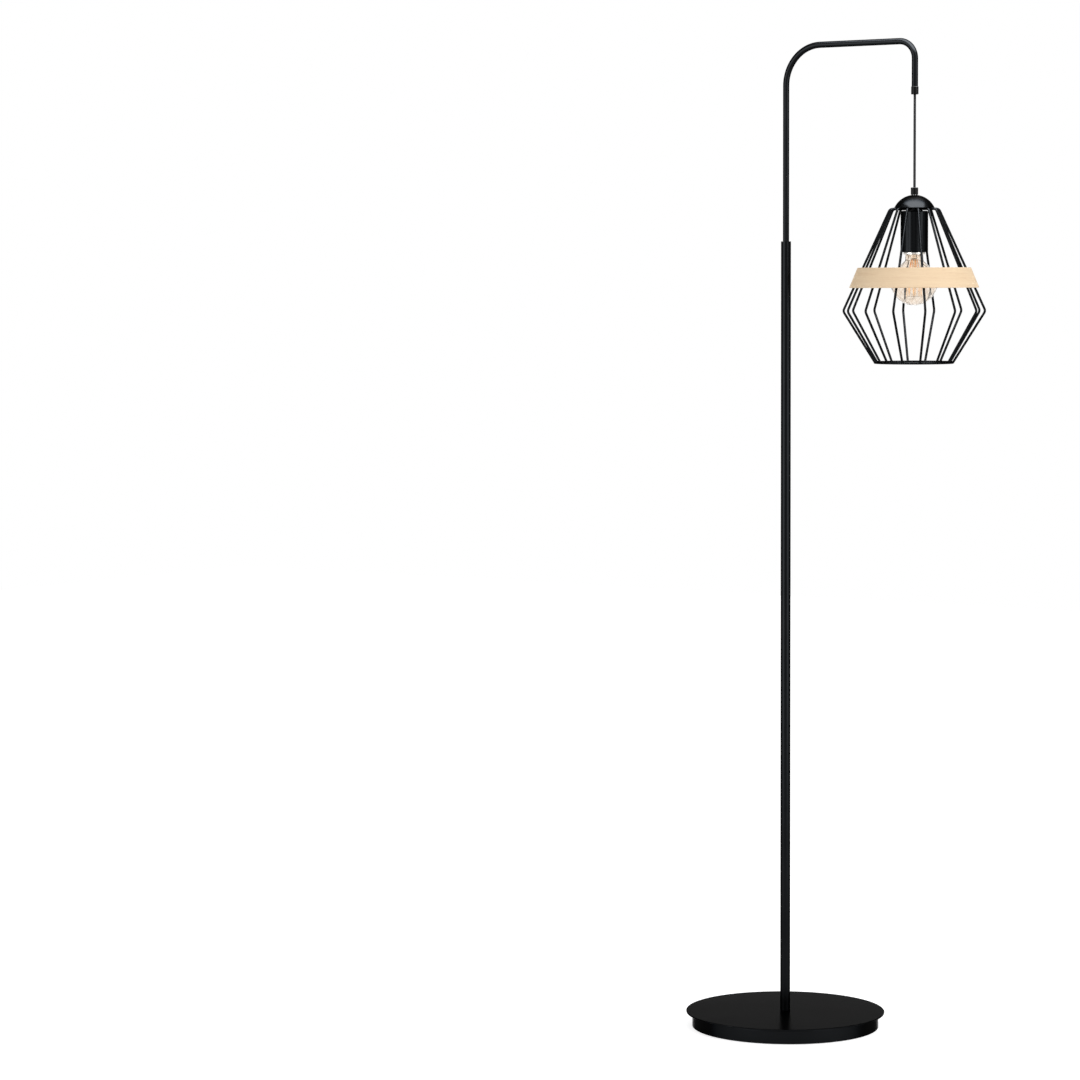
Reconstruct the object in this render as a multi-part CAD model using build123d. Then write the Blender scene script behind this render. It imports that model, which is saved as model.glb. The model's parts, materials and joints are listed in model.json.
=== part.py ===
from build123d import *
import os
from math import atan2, cos, pi, radians, sin, sqrt, tan

# Wire cage floor lamp, millimetres.  +Z is up, the floor is z = 0, the pole stands on the Z axis and
# the arm reaches out along +X.  The shade hangs on its cord at x = ARM_REACH.

# ---------------------------------------------------------------- clearances
SEAT_GAP = 0.3          # loose pieces lie this far from what carries them
THREAD_FIT = 0.05       # radial gap between a threaded rod and its nut or tapped hole
TUBE_FIT = 0.05         # radial gap of a plug, bush or ferrule on its tube
SWIVEL_FIT = 0.05       # radial running gap of the arm in its bush
CORD_FIT = 0.3          # radial gap of a cord in a drilled way

# ---------------------------------------------------------------- base
PAD_R = 146.0
PAD_T = 1.5
WEIGHT_R = 142.0
WEIGHT_T = 11.0
HUB_R = 42.0            # raised middle of the weight, up to the plate
ROOF_T = 4.5            # iron left over the nut pocket
POCKET_R = 33.0
GROOVE_W = 8.0
GROOVE_ROOF = 2.0       # iron left over the cable groove
SKIRT_R = 151.0
SKIRT_T = 1.2
SKIRT_H = 22.8
SKIRT_FLANGE = 14.0     # width of the skirt's turned-in top flange
SKIRT_BEND_R = 2.5
SKIRT_FLOOR_GAP = 0.8
PLATE_R = 161.0
PLATE_T = 2.5
PLATE_EDGE_R = 0.9
GROMMET_BORE_R = 2.9
GROMMET_BODY_R = 4.2
GROMMET_FLANGE_R = 5.2
GROMMET_FLANGE_T = 1.4
GROMMET_Z = 7.2
TERMINAL_L = 14.0
TERMINAL_W = 11.0
TERMINAL_H = 9.0
TERMINAL_FLOOR = 0.3    # height of the terminal block over the pad
TERMINAL_X = -24.0
TERMINAL_SCREW_R = 1.5
TERMINAL_WIRE_R = 2.2

# ---------------------------------------------------------------- tie rod of the pole
TIE_R = 5.0
TIE_BORE_R = 3.5
TIE_ABOVE = 16.0        # length of the rod inside the pole plug
TIE_BELOW = 8.0         # length of the rod below the roof of the pocket
TIE_WASHER_R = 12.0
TIE_WASHER_T = 1.5
TIE_NUT_FLATS = 17.0
TIE_NUT_T = 5.0
PLUG_L = 22.0

# ---------------------------------------------------------------- pole and arm
POLE_R = 8.0
POLE_WALL = 1.2
POLE_TOP_Z = 1273.0
ARM_R = 5.0
ARM_WALL = 1.0
ARM_Z = 1583.8          # centre line of the level run
ARM_REACH = 235.5       # pole axis to cord axis
ARM_POLE_BEND = 62.8
ARM_DROP_BEND = 27.6
ARM_SOCKET = 55.0       # depth of the arm in the bush
BUSH_FLOOR = 5.0
LEAD_R = 2.0
LEAD_BEND = 4.0
LEAD_FLOOR = 1.2

# ---------------------------------------------------------------- ferrule and cord
FERRULE_R = 5.85
FERRULE_L = 12.5
FERRULE_DROP = 83.7     # from the arm's level run down to the ferrule's lower face
FERRULE_FLOOR = 5.0
FERRULE_EDGE = 0.6
PIVOT_RISE = 1.5        # height of the cord's bend above the ferrule's lower face
BEND_CUP_R = 3.0
MOUTH_R = 4.6
CORD_BEND_GAP = 0.3
CORD_DROP = 144.9       # free cord, from the ferrule to the top of the grip
CORD_INSERT = 3.0

# ---------------------------------------------------------------- grip, dome and shade rod
GRIP_R = 5.85
GRIP_L = 11.4
GRIP_EDGE = 0.6
GRIP_THREAD_L = 6.0
ROD_R = 4.0
ROD_BORE_R = 2.7
DOME_R = 34.8           # radius of the sphere that the dome is cut from
DOME_H = 20.1
DOME_T = 1.2
DOME_NUT_FLATS = 13.0
DOME_NUT_T = 4.0

# ---------------------------------------------------------------- cage
WIRE_COUNT = 14
WIRE_R = 1.9
HUB_DISC_R = 15.0
SHOULDER_R = 38.2       # corner where spoke and slope would meet
SHOULDER_BEND = 6.5
BELLY_R = 111.4         # corner where the two slopes would meet
BELLY_DROP = 159.7      # from the spokes down to that corner
BELLY_BEND = 7.0
RING_R = 61.1
RING_DROP = 80.8        # from the belly corner down to the ring
RING_WIRE_R = 1.9

# ---------------------------------------------------------------- wood band
BAND_T = 4.6
BAND_LOW_R = 101.7      # outside, lower edge
BAND_TOP_R = 88.7       # outside, upper edge
BAND_H = 31.6
BAND_EDGE = 0.5

# ---------------------------------------------------------------- lamp holder
HUB_WASHER_R = 10.0
HUB_WASHER_T = 1.2
SLEEVE_R = 21.6
SLEEVE_L = 64.4
SLEEVE_T = 1.2
SLEEVE_EDGE = 1.6
SOCKET_R = 16.4
SOCKET_BELOW = 3.2      # how far the socket shows below the sleeve
SOCKET_CAVITY_H = 31.6
SOCKET_ROOF = 12.0
SOCKET_EDGE = 0.8
ROD_IN_SOCKET = 8.0
SHELL_T = 0.4
SHELL_FIT = 0.25        # radial gap between bulb cap and screw shell
SHELL_SEAT = 0.1        # radial gap between screw shell and socket
SHELL_L = 25.0
CONTACT_R = 6.0
CONTACT_T = 0.8
CONTACT_BOSS_R = 3.0
SCREW_HEAD_R = 2.6
SCREW_HEAD_T = 1.8
SCREW_R = 1.5
SCREW_L = 6.0
SCREW_CIRCLE_R = 10.0

# ---------------------------------------------------------------- bulb
GLOBE_R = 37.1
GLOBE_SHOULDER_R = 26.0
NECK_R = 14.3
NECK_BEND = 3.0
NECK_L = 8.8
GLASS_T = 1.0
CAP_R = 13.15
CAP_L = 22.0
CAP_T = 0.4
CAP_TAPER = 3.0
CAP_GAP = 0.8           # bulb neck to the lower face of the socket
INSULATOR_R = 8.0
INSULATOR_L = 3.8
TIP_R = 4.5
TIP_L = 1.2
STEM_R = 3.0
STEM_FLARE_L = 9.0
STEM_L = 22.0
STEM_ROD_R = 1.1
FILAMENT_COUNT = 8
FILAMENT_R = 0.4
FILAMENT_TOP_R = 6.0
FILAMENT_LOW_R = 12.0
FILAMENT_L = 44.0
SUPPORT_R = 0.35

# ---------------------------------------------------------------- places worked out from the sizes
WEIGHT_TOP = PAD_T + WEIGHT_T
PLATE_LOW = SKIRT_FLOOR_GAP + SKIRT_H
PLATE_TOP = PLATE_LOW + PLATE_T
POCKET_ROOF = PLATE_LOW - ROOF_T
SKIRT_INSIDE_R = SKIRT_R - SKIRT_T
POLE_INSIDE_R = POLE_R - POLE_WALL
ARM_INSIDE_R = ARM_R - ARM_WALL
ARM_FOOT_Z = POLE_TOP_Z - ARM_SOCKET
BUSH_L = ARM_SOCKET + BUSH_FLOOR
FERRULE_Z = ARM_Z - FERRULE_DROP
ARM_END_Z = FERRULE_Z + FERRULE_FLOOR
PIVOT_Z = FERRULE_Z + PIVOT_RISE
LEAD_CUT_R = LEAD_R + CORD_BEND_GAP
GRIP_TOP = FERRULE_Z - CORD_DROP
DOME_TOP = GRIP_TOP - GRIP_L
DOME_RIM = DOME_TOP - DOME_H
SPOKE_Z = DOME_RIM - WIRE_R
HUB_LOW = SPOKE_Z - WIRE_R
BELLY_Z = SPOKE_Z - BELLY_DROP
RING_Z = BELLY_Z - RING_DROP
SLEEVE_TOP = HUB_LOW - HUB_WASHER_T
SLEEVE_LOW = SLEEVE_TOP - SLEEVE_L
SOCKET_LOW = SLEEVE_LOW - SOCKET_BELOW
SOCKET_FLOOR = SOCKET_LOW + SOCKET_CAVITY_H
SOCKET_TOP = SOCKET_FLOOR + SOCKET_ROOF
ROD_TOP = DOME_TOP + GRIP_THREAD_L - SEAT_GAP
ROD_LOW = SOCKET_TOP - ROD_IN_SOCKET
SHELL_INSIDE_R = CAP_R + SHELL_FIT
SOCKET_CAVITY_R = SHELL_INSIDE_R + SHELL_T + SHELL_SEAT
NECK_TOP = SOCKET_LOW - CAP_GAP
CAP_TOP = NECK_TOP + CAP_L
TIP_LOW = CAP_TOP + INSULATOR_L
TIP_TOP = TIP_LOW + TIP_L
NECK_LOW = NECK_TOP - NECK_L
SHADE_AXIS = Pos(ARM_REACH, 0, 0)
SPOKE_PITCH = 360.0 / WIRE_COUNT


# ---------------------------------------------------------------- shared shapes
def rod(radius, low, high):
    """A round bar on the Z axis between two heights."""
    return Pos(0, 0, low) * extrude(Circle(radius), amount=high - low)


def tube(outer, inner, low, high):
    """A round tube on the Z axis between two heights."""
    return Pos(0, 0, low) * extrude(Circle(outer) - Circle(inner), amount=high - low)


def turned(points):
    """A closed radius-and-height outline turned about the Z axis."""
    outline = Polyline(*[(r, 0, z) for r, z in points], close=True)
    return revolve(make_face(outline), Axis.Z)


def hex_nut(across_flats, bore_r, low, high):
    """A hexagon nut with a plain bore."""
    blank = RegularPolygon(across_flats / 2, 6, major_radius=False) - Circle(bore_r)
    return Pos(0, 0, low) * extrude(blank, amount=high - low)


def bent_bar(points, bends, radius):
    """A round bar along straight runs joined by tangent arcs."""
    path = FilletPolyline(*points, radius=bends)
    start = Plane(origin=path @ 0, z_dir=path % 0)
    return sweep(start * Circle(radius), path=path)


def ball(radius, x, z):
    return Pos(x, 0, z) * Sphere(radius)


# ---------------------------------------------------------------- base
def base_pad():
    """Felt sheet that the lamp stands on."""
    return rod(PAD_R, 0, PAD_T)


def base_weight():
    """Cast iron disc with a raised hub, a nut pocket below and a cable groove to the rear."""
    body = turned([(0, PAD_T), (WEIGHT_R, PAD_T), (WEIGHT_R, WEIGHT_TOP), (HUB_R, WEIGHT_TOP),
                   (HUB_R, PLATE_LOW), (0, PLATE_LOW)])
    pocket = rod(POCKET_R, PAD_T, POCKET_ROOF)
    bolt_way = rod(TIE_R + THREAD_FIT, PAD_T, PLATE_LOW)
    groove_h = WEIGHT_T - GROOVE_ROOF
    groove = Pos(-WEIGHT_R / 2, 0, PAD_T + groove_h / 2) * Box(WEIGHT_R, GROOVE_W, groove_h)
    return body - pocket - bolt_way - groove


def base_skirt():
    """Turned steel ring with a rolled upper corner, a flange inward and the cable hole."""
    top = PLATE_LOW
    foot = SKIRT_FLOOR_GAP
    flange_r = SKIRT_R - SKIRT_FLANGE
    outline = make_face(Polyline((flange_r, 0, top), (SKIRT_R, 0, top), (SKIRT_R, 0, foot),
                                 (SKIRT_INSIDE_R, 0, foot), (SKIRT_INSIDE_R, 0, top - SKIRT_T),
                                 (flange_r, 0, top - SKIRT_T), close=True))
    outer_corner = outline.vertices().group_by(Axis.Z)[-1].sort_by(Axis.X)[-1]
    inner_corner = outline.vertices().filter_by(lambda v: abs(v.Z - top + SKIRT_T) < THREAD_FIT)
    rounded = fillet(outer_corner, SKIRT_BEND_R)
    rounded = fillet(nearest_corner(rounded, inner_corner.sort_by(Axis.X)[-1]), SKIRT_BEND_R - SKIRT_T)
    ring = revolve(rounded, Axis.Z)
    hole = Pos(-SKIRT_R, 0, GROMMET_Z) * Rot(0, 90, 0) * Cylinder(GROMMET_BODY_R, 4 * SKIRT_BEND_R)
    return ring - hole


def nearest_corner(face, corner):
    """The corner of a face that lies where a corner of its earlier form lay."""
    return face.vertices().sort_by_distance(corner)[0]


def base_plate():
    """Thin round top plate with a softened edge, drilled for the tie rod."""
    disc = rod(PLATE_R, PLATE_LOW, PLATE_TOP)
    disc = fillet(disc.edges().filter_by(GeomType.CIRCLE), PLATE_EDGE_R)
    return disc - rod(TIE_R + THREAD_FIT, PLATE_LOW, PLATE_TOP)


def base_grommet():
    """Rubber bush in the skirt's rear hole, with a flange on each side of the sheet."""
    half = SKIRT_T / 2
    flange = half + GROMMET_FLANGE_T
    bush = turned([(GROMMET_BORE_R, -flange), (GROMMET_FLANGE_R, -flange), (GROMMET_FLANGE_R, -half),
                   (GROMMET_BODY_R, -half), (GROMMET_BODY_R, half), (GROMMET_FLANGE_R, half),
                   (GROMMET_FLANGE_R, flange), (GROMMET_BORE_R, flange)])
    placed = Pos(half - SKIRT_R, 0, GROMMET_Z) * Rot(0, 90, 0) * bush
    curved_sheet = tube(SKIRT_R, SKIRT_INSIDE_R, 0, PLATE_LOW)
    window = Pos(-SKIRT_R, 0, GROMMET_Z) * Rot(0, 90, 0) * Cylinder(GROMMET_BODY_R, 4 * SKIRT_BEND_R)
    return placed - (curved_sheet - window)


def base_terminal():
    """Terminal block in the weight's pocket, where the cord to the wall is joined on."""
    low = PAD_T + TERMINAL_FLOOR
    block = Pos(TERMINAL_X, 0, low + TERMINAL_H / 2) * Box(TERMINAL_L, TERMINAL_W, TERMINAL_H)
    block = fillet(block.edges().filter_by(Axis.Z), TERMINAL_SCREW_R / 2)
    lead_way = Pos(TERMINAL_X, 0, lead_run_z()) * Rot(0, 90, 0) * Cylinder(TERMINAL_WIRE_R, TERMINAL_L)
    for side in (-1, 1):
        well = Pos(TERMINAL_X + side * TERMINAL_L / 4, 0, low + TERMINAL_H) * Cylinder(
            TERMINAL_SCREW_R, TERMINAL_H / 2)
        block = block - well
    return block - lead_way


def tie_rod():
    """Hollow threaded rod that draws the pole down on the base."""
    return tube(TIE_R, TIE_BORE_R, POCKET_ROOF - TIE_BELOW, PLATE_TOP + TIE_ABOVE)


def tie_washer():
    return tube(TIE_WASHER_R, TIE_R + THREAD_FIT, POCKET_ROOF - TIE_WASHER_T, POCKET_ROOF)


def tie_nut():
    top = POCKET_ROOF - TIE_WASHER_T
    return hex_nut(TIE_NUT_FLATS, TIE_R + THREAD_FIT, top - TIE_NUT_T, top)


# ---------------------------------------------------------------- pole
def pole_tube():
    return tube(POLE_R, POLE_INSIDE_R, PLATE_TOP, POLE_TOP_Z)


def pole_plug():
    """Tapped plug in the pole's foot, on the tie rod."""
    return tube(POLE_INSIDE_R - TUBE_FIT, TIE_R + THREAD_FIT, PLATE_TOP, PLATE_TOP + PLUG_L)


def pole_bush():
    """Bush in the pole's head: the arm turns in it and stands on its floor."""
    outer = POLE_INSIDE_R - TUBE_FIT
    low = POLE_TOP_Z - BUSH_L
    floor_top = low + BUSH_FLOOR - SEAT_GAP
    return turned([(LEAD_R + CORD_FIT, low), (outer, low), (outer, POLE_TOP_Z),
                   (ARM_R + SWIVEL_FIT, POLE_TOP_Z), (ARM_R + SWIVEL_FIT, floor_top),
                   (LEAD_R + CORD_FIT, floor_top)])


def lead_run_z():
    """Height of the lead's level run through the pocket."""
    return PAD_T + LEAD_FLOOR + LEAD_R


def pole_lead():
    """Lead inside the pole, from the arm's foot down the tie rod to the terminal block."""
    run_z = lead_run_z()
    return bent_bar([(0, 0, ARM_FOOT_Z - SEAT_GAP), (0, 0, run_z), (TERMINAL_X, 0, run_z)],
                    [LEAD_BEND], LEAD_R)


# ---------------------------------------------------------------- arm
def arm_path(foot_z, end_z):
    return [(0, 0, foot_z), (0, 0, ARM_Z), (ARM_REACH, 0, ARM_Z), (ARM_REACH, 0, end_z)]


def arm_tube():
    """Thin steel tube, bent twice, with a short drop at its end."""
    bends = [ARM_POLE_BEND, ARM_DROP_BEND]
    route = arm_path(ARM_FOOT_Z, ARM_END_Z)
    return bent_bar(route, bends, ARM_R) - bent_bar(route, bends, ARM_INSIDE_R)


def arm_lead():
    """Lead inside the arm, down to the bend at the ferrule."""
    lead = bent_bar(arm_path(ARM_FOOT_Z, PIVOT_Z), [ARM_POLE_BEND, ARM_DROP_BEND], LEAD_R)
    return lead - ball(LEAD_CUT_R, ARM_REACH, PIVOT_Z)


def arm_ferrule():
    """End cap of the arm, flared below so that the cord can swing."""
    top = FERRULE_Z + FERRULE_L
    body = rod(FERRULE_R, FERRULE_Z, top)
    body = chamfer(body.edges().filter_by(GeomType.CIRCLE), FERRULE_EDGE)
    tube_seat = rod(ARM_R + TUBE_FIT, ARM_END_Z, top)
    lead_way = rod(LEAD_R + CORD_FIT, PIVOT_Z, ARM_END_Z)
    flare = turned([(0, FERRULE_Z), (MOUTH_R, FERRULE_Z), (BEND_CUP_R, PIVOT_Z), (0, PIVOT_Z)])
    return SHADE_AXIS * (body - tube_seat - lead_way - flare - ball(BEND_CUP_R, 0, PIVOT_Z))


# ---------------------------------------------------------------- cord
def cord_bend():
    """The short length of cord that bends as the shade swings."""
    return ball(LEAD_R, ARM_REACH, PIVOT_Z)


def pendant_cord():
    """Free cord, straight under the weight of the shade."""
    cord = rod(LEAD_R, GRIP_TOP - CORD_INSERT, PIVOT_Z)
    return SHADE_AXIS * (cord - ball(LEAD_CUT_R, 0, PIVOT_Z))


# ---------------------------------------------------------------- grip, dome and shade rod
def cord_grip():
    """Round grip on the dome that clamps the cord and screws on the shade's rod."""
    body = rod(GRIP_R, DOME_TOP, GRIP_TOP)
    body = chamfer(body.edges().filter_by(GeomType.CIRCLE), GRIP_EDGE)
    cord_way = rod(LEAD_R + CORD_FIT, DOME_TOP, GRIP_TOP)
    thread = rod(ROD_R + THREAD_FIT, DOME_TOP, DOME_TOP + GRIP_THREAD_L)
    return SHADE_AXIS * (body - cord_way - thread)


def shade_rod():
    """Hollow threaded rod that holds grip, dome, cage, sleeve and socket together."""
    return SHADE_AXIS * tube(ROD_R, ROD_BORE_R, ROD_LOW, ROD_TOP)


def holder_lead():
    """The cord's last length, inside the grip and the rod."""
    top = GRIP_TOP - CORD_INSERT - SEAT_GAP
    return SHADE_AXIS * rod(LEAD_R, SOCKET_FLOOR + SEAT_GAP + CONTACT_T, top)


def dome_height(radius, out):
    """Height of a sphere about the dome's centre, at a distance out from the shade's axis."""
    return DOME_TOP - DOME_R + sqrt(radius ** 2 - out ** 2)


def dome_arc(radius):
    """Arc of the dome's outline, from the hole in its crown to its rim."""
    hole_r = ROD_R + THREAD_FIT
    rim_r = sqrt(radius ** 2 - (DOME_R - DOME_H) ** 2)
    points = [(out, 0, dome_height(radius, out)) for out in (hole_r, (hole_r + rim_r) / 2, rim_r)]
    return ThreePointArc(*points)


def dome_cap():
    """Pressed sheet dome, drilled at its crown, whose rim lies on the spokes."""
    outer = dome_arc(DOME_R)
    inner = dome_arc(DOME_R - DOME_T)
    outline = Wire([outer, inner, Line(outer @ 0, inner @ 0), Line(outer @ 1, inner @ 1)])
    return SHADE_AXIS * revolve(make_face(outline), Axis.Z)


def dome_nut():
    """Nut whose corners bear on the inside of the dome."""
    corner_r = DOME_NUT_FLATS / 2 / cos(pi / 6)
    top = dome_height(DOME_R - DOME_T, corner_r)
    return SHADE_AXIS * hex_nut(DOME_NUT_FLATS, ROD_R + THREAD_FIT, top - DOME_NUT_T, top)


# ---------------------------------------------------------------- cage
def cage_hub():
    """Round steel washer that the spokes are welded to."""
    return SHADE_AXIS * tube(HUB_DISC_R, ROD_R + THREAD_FIT, HUB_LOW, DOME_RIM)


def cage_wire(index):
    """One bent wire: spoke, shoulder, slope out to the belly and slope in to the ring."""
    route = [(HUB_DISC_R - WIRE_R, 0, SPOKE_Z), (SHOULDER_R, 0, SPOKE_Z), (BELLY_R, 0, BELLY_Z),
             (RING_R, 0, RING_Z)]
    wire = bent_bar(route, [SHOULDER_BEND, BELLY_BEND], WIRE_R)
    wire = wire - rod(HUB_DISC_R, HUB_LOW - WIRE_R, DOME_RIM + WIRE_R)
    wire = wire - Pos(0, 0, RING_Z) * Torus(RING_R, RING_WIRE_R)
    longest = wire.solids().sort_by(SortBy.VOLUME)[-1]
    return SHADE_AXIS * Rot(0, 0, index * SPOKE_PITCH) * longest


def cage_ring():
    """Wire ring that closes the cage below."""
    return SHADE_AXIS * Pos(0, 0, RING_Z) * Torus(RING_R, RING_WIRE_R)


def slope_angle():
    """Angle of the upper slope of the wires from the vertical."""
    return atan2(BELLY_R - SHOULDER_R, BELLY_DROP)


def band_low():
    """Height at which the band's lower inside edge lies on the wires."""
    inside = BAND_LOW_R - BAND_T
    wire_line = inside - SEAT_GAP - WIRE_R / cos(slope_angle())
    return BELLY_Z + (BELLY_R - wire_line) / tan(slope_angle())


def wood_band():
    """Conical hoop of bent wood that lies on the slope of the cage."""
    low = band_low()
    top = low + BAND_H
    hoop = turned([(BAND_LOW_R - BAND_T, low), (BAND_LOW_R, low), (BAND_TOP_R, top),
                   (BAND_TOP_R - BAND_T, top)])
    return SHADE_AXIS * chamfer(hoop.edges().filter_by(GeomType.CIRCLE), BAND_EDGE)


# ---------------------------------------------------------------- lamp holder
def hub_washer():
    """Spacer between the hub and the sleeve."""
    return SHADE_AXIS * tube(HUB_WASHER_R, ROD_R + THREAD_FIT, SLEEVE_TOP, HUB_LOW)


def holder_sleeve():
    """Cylindrical metal cover of the lamp holder, open below."""
    shell = rod(SLEEVE_R, SLEEVE_LOW, SLEEVE_TOP)
    shell = chamfer(shell.edges().filter_by(GeomType.CIRCLE).sort_by(Axis.Z)[-1], SLEEVE_EDGE)
    inside = rod(SLEEVE_R - SLEEVE_T, SLEEVE_LOW, SLEEVE_TOP - SLEEVE_T)
    inside = chamfer(inside.edges().filter_by(GeomType.CIRCLE).sort_by(Axis.Z)[-1], SLEEVE_T)
    return SHADE_AXIS * (shell - inside - rod(ROD_R + THREAD_FIT, SLEEVE_LOW, SLEEVE_TOP))


def sleeve_nut():
    """Nut inside the sleeve that clamps it to the hub."""
    top = SLEEVE_TOP - SLEEVE_T
    return SHADE_AXIS * hex_nut(DOME_NUT_FLATS, ROD_R + THREAD_FIT, top - DOME_NUT_T, top)


def socket_body():
    """Moulded body of the lamp holder, tapped for the rod and open below for the bulb."""
    body = rod(SOCKET_R, SOCKET_LOW, SOCKET_TOP)
    body = chamfer(body.edges().filter_by(GeomType.CIRCLE), SOCKET_EDGE)
    cavity = rod(SOCKET_CAVITY_R, SOCKET_LOW, SOCKET_FLOOR)
    thread = rod(ROD_R + THREAD_FIT, ROD_LOW - SEAT_GAP, SOCKET_TOP)
    wire_way = rod(LEAD_R + CORD_FIT, SOCKET_FLOOR, ROD_LOW)
    for side in (-1, 1):
        body = body - Pos(0, side * SCREW_CIRCLE_R, 0) * rod(
            SCREW_R + THREAD_FIT, SOCKET_TOP - SCREW_L, SOCKET_TOP)
    return SHADE_AXIS * (body - cavity - thread - wire_way)


def socket_shell():
    """Brass screw shell."""
    return SHADE_AXIS * tube(SHELL_INSIDE_R + SHELL_T, SHELL_INSIDE_R, SOCKET_FLOOR - SHELL_L,
                             SOCKET_FLOOR)


def socket_contact():
    """Centre contact under the roof of the socket."""
    boss_low = TIP_TOP + SEAT_GAP
    return SHADE_AXIS * turned([(0, boss_low), (CONTACT_BOSS_R, boss_low),
                                (CONTACT_BOSS_R, SOCKET_FLOOR - CONTACT_T),
                                (CONTACT_R, SOCKET_FLOOR - CONTACT_T), (CONTACT_R, SOCKET_FLOOR),
                                (0, SOCKET_FLOOR)])


def socket_screws():
    """The two terminal screws on top of the socket."""
    screws = []
    for side in (-1, 1):
        shank = rod(SCREW_R, SOCKET_TOP - SCREW_L + SEAT_GAP, SOCKET_TOP)
        head = rod(SCREW_HEAD_R, SOCKET_TOP, SOCKET_TOP + SCREW_HEAD_T)
        screws.append(SHADE_AXIS * Pos(0, side * SCREW_CIRCLE_R, 0) * (shank + head))
    return Compound(children=screws)


# ---------------------------------------------------------------- bulb
def globe_outline(offset):
    """Half outline of the glass, moved inward by offset: bottom, equator, shoulder, neck."""
    globe_r = GLOBE_R - offset
    shoulder_r = GLOBE_SHOULDER_R - offset
    neck_r = NECK_R - offset
    slant = radians(45)
    shoulder_x = GLOBE_R - GLOBE_SHOULDER_R
    cone_start = (shoulder_x + shoulder_r * cos(slant), globe_z() + shoulder_r * sin(slant))
    cone_end = (neck_r, cone_start[1] + cone_start[0] - neck_r)
    middle = radians(22.5)
    low_mid = (globe_r * cos(pi / 4), globe_z() - globe_r * sin(pi / 4))
    top_mid = (shoulder_x + shoulder_r * cos(middle), globe_z() + shoulder_r * sin(middle))
    edges = [ThreePointArc((0, 0, globe_z() - globe_r), (low_mid[0], 0, low_mid[1]),
                           (globe_r, 0, globe_z())),
             ThreePointArc((globe_r, 0, globe_z()), (top_mid[0], 0, top_mid[1]),
                           (cone_start[0], 0, cone_start[1])),
             Line((cone_start[0], 0, cone_start[1]), (cone_end[0], 0, cone_end[1])),
             Line((cone_end[0], 0, cone_end[1]), (neck_r, 0, NECK_TOP)),
             Line((neck_r, 0, NECK_TOP), (0, 0, NECK_TOP)),
             Line((0, 0, NECK_TOP), (0, 0, globe_z() - globe_r))]
    return make_face(Wire(edges))


def globe_z():
    """Height of the globe's equator, from where its 45 degree shoulder meets the neck."""
    slant = radians(45)
    shoulder_x = GLOBE_R - GLOBE_SHOULDER_R
    rise = GLOBE_SHOULDER_R * sin(slant)
    return NECK_LOW - rise - (shoulder_x + GLOBE_SHOULDER_R * cos(slant) - NECK_R)


def bulb_globe():
    """Amber glass envelope, a thin shell with an open neck."""
    outside = revolve(globe_outline(0), Axis.Z)
    neck_corner = outside.edges().filter_by(GeomType.CIRCLE).filter_by(
        lambda e: abs(e.center().Z - NECK_LOW) < SEAT_GAP)
    outside = fillet(neck_corner, NECK_BEND)
    inside = revolve(globe_outline(GLASS_T), Axis.Z)
    return SHADE_AXIS * (outside - inside)


def bulb_cap():
    """Screw cap of the bulb, a thin metal cup that tapers to its insulator."""
    wall = CAP_R - CAP_T
    shoulder = CAP_TOP - CAP_TAPER
    return SHADE_AXIS * turned([(wall, NECK_TOP), (CAP_R, NECK_TOP), (CAP_R, shoulder),
                                (INSULATOR_R, CAP_TOP), (INSULATOR_R - CAP_T, CAP_TOP),
                                (INSULATOR_R - CAP_T, CAP_TOP - CAP_T), (wall, shoulder - CAP_T)])


def bulb_insulator():
    """Black glass insulator between cap and tip."""
    return SHADE_AXIS * turned([(0, CAP_TOP), (INSULATOR_R, CAP_TOP), (TIP_R, TIP_LOW), (0, TIP_LOW)])


def bulb_tip():
    """Centre contact of the bulb."""
    return SHADE_AXIS * fillet(rod(TIP_R, TIP_LOW, TIP_TOP).edges().filter_by(
        GeomType.CIRCLE).sort_by(Axis.Z)[-1], TIP_L / 2)


def stem_low():
    return NECK_TOP - STEM_L


def bulb_stem():
    """Glass stem, flared where it is fused into the neck, with a thin rod below."""
    flare_low = NECK_TOP - STEM_FLARE_L
    flare_r = NECK_R - GLASS_T - SEAT_GAP
    rod_low = stem_low() - FILAMENT_L
    return SHADE_AXIS * turned([(0, NECK_TOP), (flare_r, NECK_TOP), (STEM_R, flare_low),
                                (STEM_R, stem_low()), (STEM_ROD_R, stem_low()),
                                (STEM_ROD_R, rod_low), (0, rod_low)])


def filament_ends(index):
    """Top and bottom of one filament."""
    turn = 2 * pi * index / FILAMENT_COUNT
    top = Vector(FILAMENT_TOP_R * cos(turn), FILAMENT_TOP_R * sin(turn), stem_low() - SUPPORT_R)
    low = Vector(FILAMENT_LOW_R * cos(turn), FILAMENT_LOW_R * sin(turn),
                 stem_low() - FILAMENT_L + 2 * SUPPORT_R)
    return top, low


def straight_bar(start, end, radius):
    return Solid.extrude(Plane(origin=start, z_dir=end - start) * Circle(radius).face(), end - start)


def bulb_supports():
    """Fine wires from the stem that carry the filaments, above and below."""
    wires = []
    for index in range(FILAMENT_COUNT):
        top, low = filament_ends(index)
        for end, core in ((top, STEM_ROD_R), (low, STEM_ROD_R)):
            outward = Vector(end.X, end.Y, 0).normalized()
            start = outward * core + Vector(0, 0, end.Z)
            wires.append(SHADE_AXIS * straight_bar(start, end, SUPPORT_R))
    return Compound(children=wires)


def bulb_filaments():
    """Slanting filaments between the supports."""
    strands = []
    for index in range(FILAMENT_COUNT):
        top, low = filament_ends(index)
        along = (low - top).normalized()
        inset = along * (2 * SUPPORT_R)
        strands.append(SHADE_AXIS * straight_bar(top + inset, low - inset, FILAMENT_R))
    return Compound(children=strands)


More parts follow.
